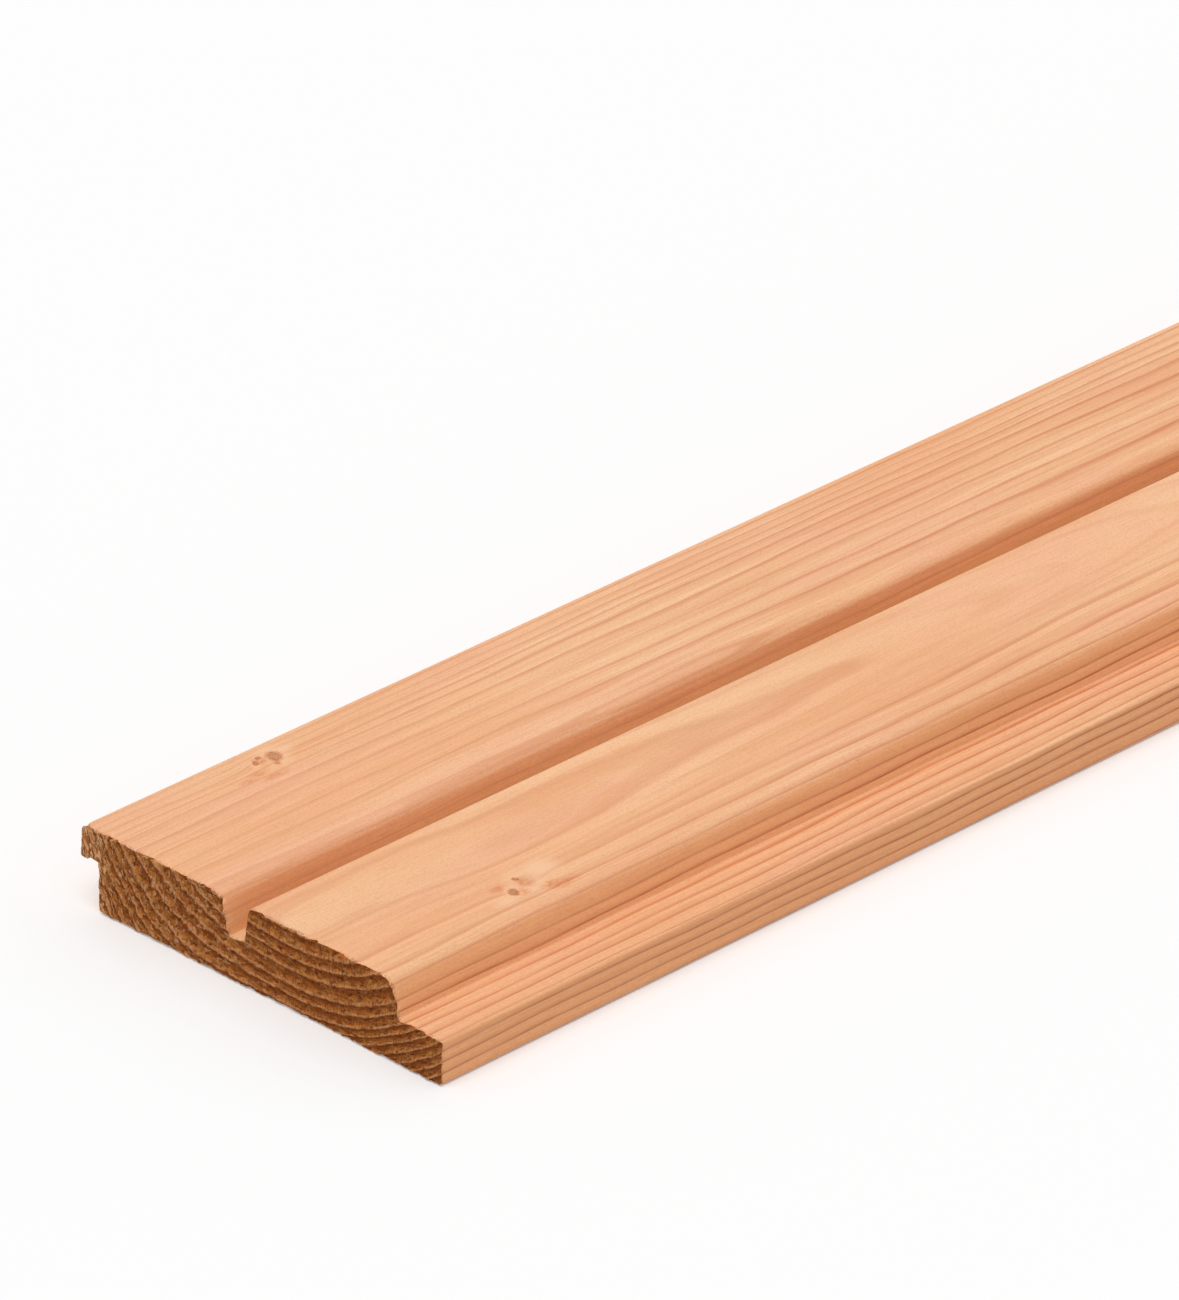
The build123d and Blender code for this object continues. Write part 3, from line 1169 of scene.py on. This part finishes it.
def buildLight():
    world = bpy.data.worlds.new("studio")
    bpy.context.scene.world = world
    world.use_nodes = True
    sky = openTree(world.node_tree).nodes["Background"]
    sky.inputs["Color"].default_value = (1, 1, 1, 1)
    dim = studio["skyStrength"]
    put(sky.inputs["Strength"], timesPlus(seenRay(), 1.0 - dim, dim))

    key = bpy.data.lights.new("softbox", "SUN")
    key.energy = studio["keyStrength"]
    key.angle = math.radians(studio["keySoftness"])
    lamp = bpy.data.objects.new("softbox", key)
    side = towards(studio["keyAzimuth"], studio["keyElevation"])
    lamp.rotation_euler = side.to_track_quat("Z", "Y").to_euler()
    bpy.context.scene.collection.objects.link(lamp)
    print("studio ready")


# camera at the photograph's viewing angle, in metres and degrees
view = {
    "azimuth": -46.985,
    "elevation": 27.908,
    "roll": 1.754,
    "aim": (-0.6990, 0.0629, 0.0130),
    "distance": 3.565,
    "focalPixels": 12000.0,  # focal length in pixels of the photograph's 1300-pixel side
    "longSide": 1300.0,
    "sensor": 36.0,
    "clip": (0.05, 60),
}


def buildCamera():
    toCamera = towards(view["azimuth"], view["elevation"])
    a = math.radians(view["azimuth"])
    right = Vector((math.cos(a), math.sin(a), 0))
    up = toCamera.cross(right)
    roll = math.radians(view["roll"])
    tiltedRight = right * math.cos(roll) + up * math.sin(roll)
    tiltedUp = up * math.cos(roll) - right * math.sin(roll)
    data = bpy.data.cameras.new("camera")
    data.sensor_width = view["sensor"]
    data.sensor_fit = "AUTO"
    data.lens = view["focalPixels"] / view["longSide"] * view["sensor"]
    data.clip_start, data.clip_end = view["clip"]
    camera = bpy.data.objects.new("camera", data)
    turn = Matrix((tiltedRight, tiltedUp, toCamera)).transposed().to_4x4()
    camera.matrix_world = Matrix.Translation(Vector(view["aim"]) + toCamera * view["distance"]) @ turn
    bpy.context.scene.collection.objects.link(camera)
    bpy.context.scene.camera = camera
    print("camera ready")


buildFloor()
buildLight()
buildCamera()
bpy.context.scene.view_settings.view_transform = "Standard"

bpy.context.view_layer.update()
